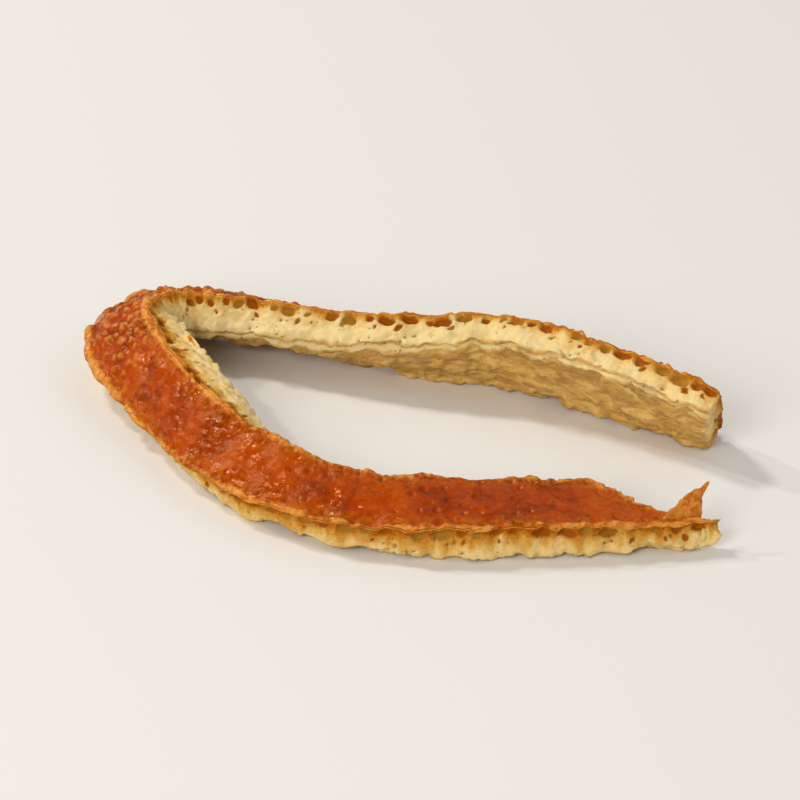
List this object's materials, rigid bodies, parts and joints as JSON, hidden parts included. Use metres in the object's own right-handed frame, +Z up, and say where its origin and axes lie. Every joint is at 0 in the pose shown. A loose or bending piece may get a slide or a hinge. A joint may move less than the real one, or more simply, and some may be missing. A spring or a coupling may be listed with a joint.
{
  "type": "dried orange peel strip",
  "caption": "Dried strip of citrus peel bent back like a hairpin, one arm lying flat with its skin up and the other standing on edge.",
  "frame": {"origin": "centre of the bottom of the bounding box, on the surface the strip lies on", "axes": "+X along the flat arm from the bend to the torn end, +Y from the flat arm to the standing arm, +Z up"},
  "size_m": [0.0414, 0.0306, 0.0057],
  "materials": {
    "rind": "dried waxy skin, deep orange to red-brown with sunken oil pits, over cream spongy pith"
  },
  "bodies": {
    "root": {"peel_strip": "rind"}
  },
  "joints": []
}
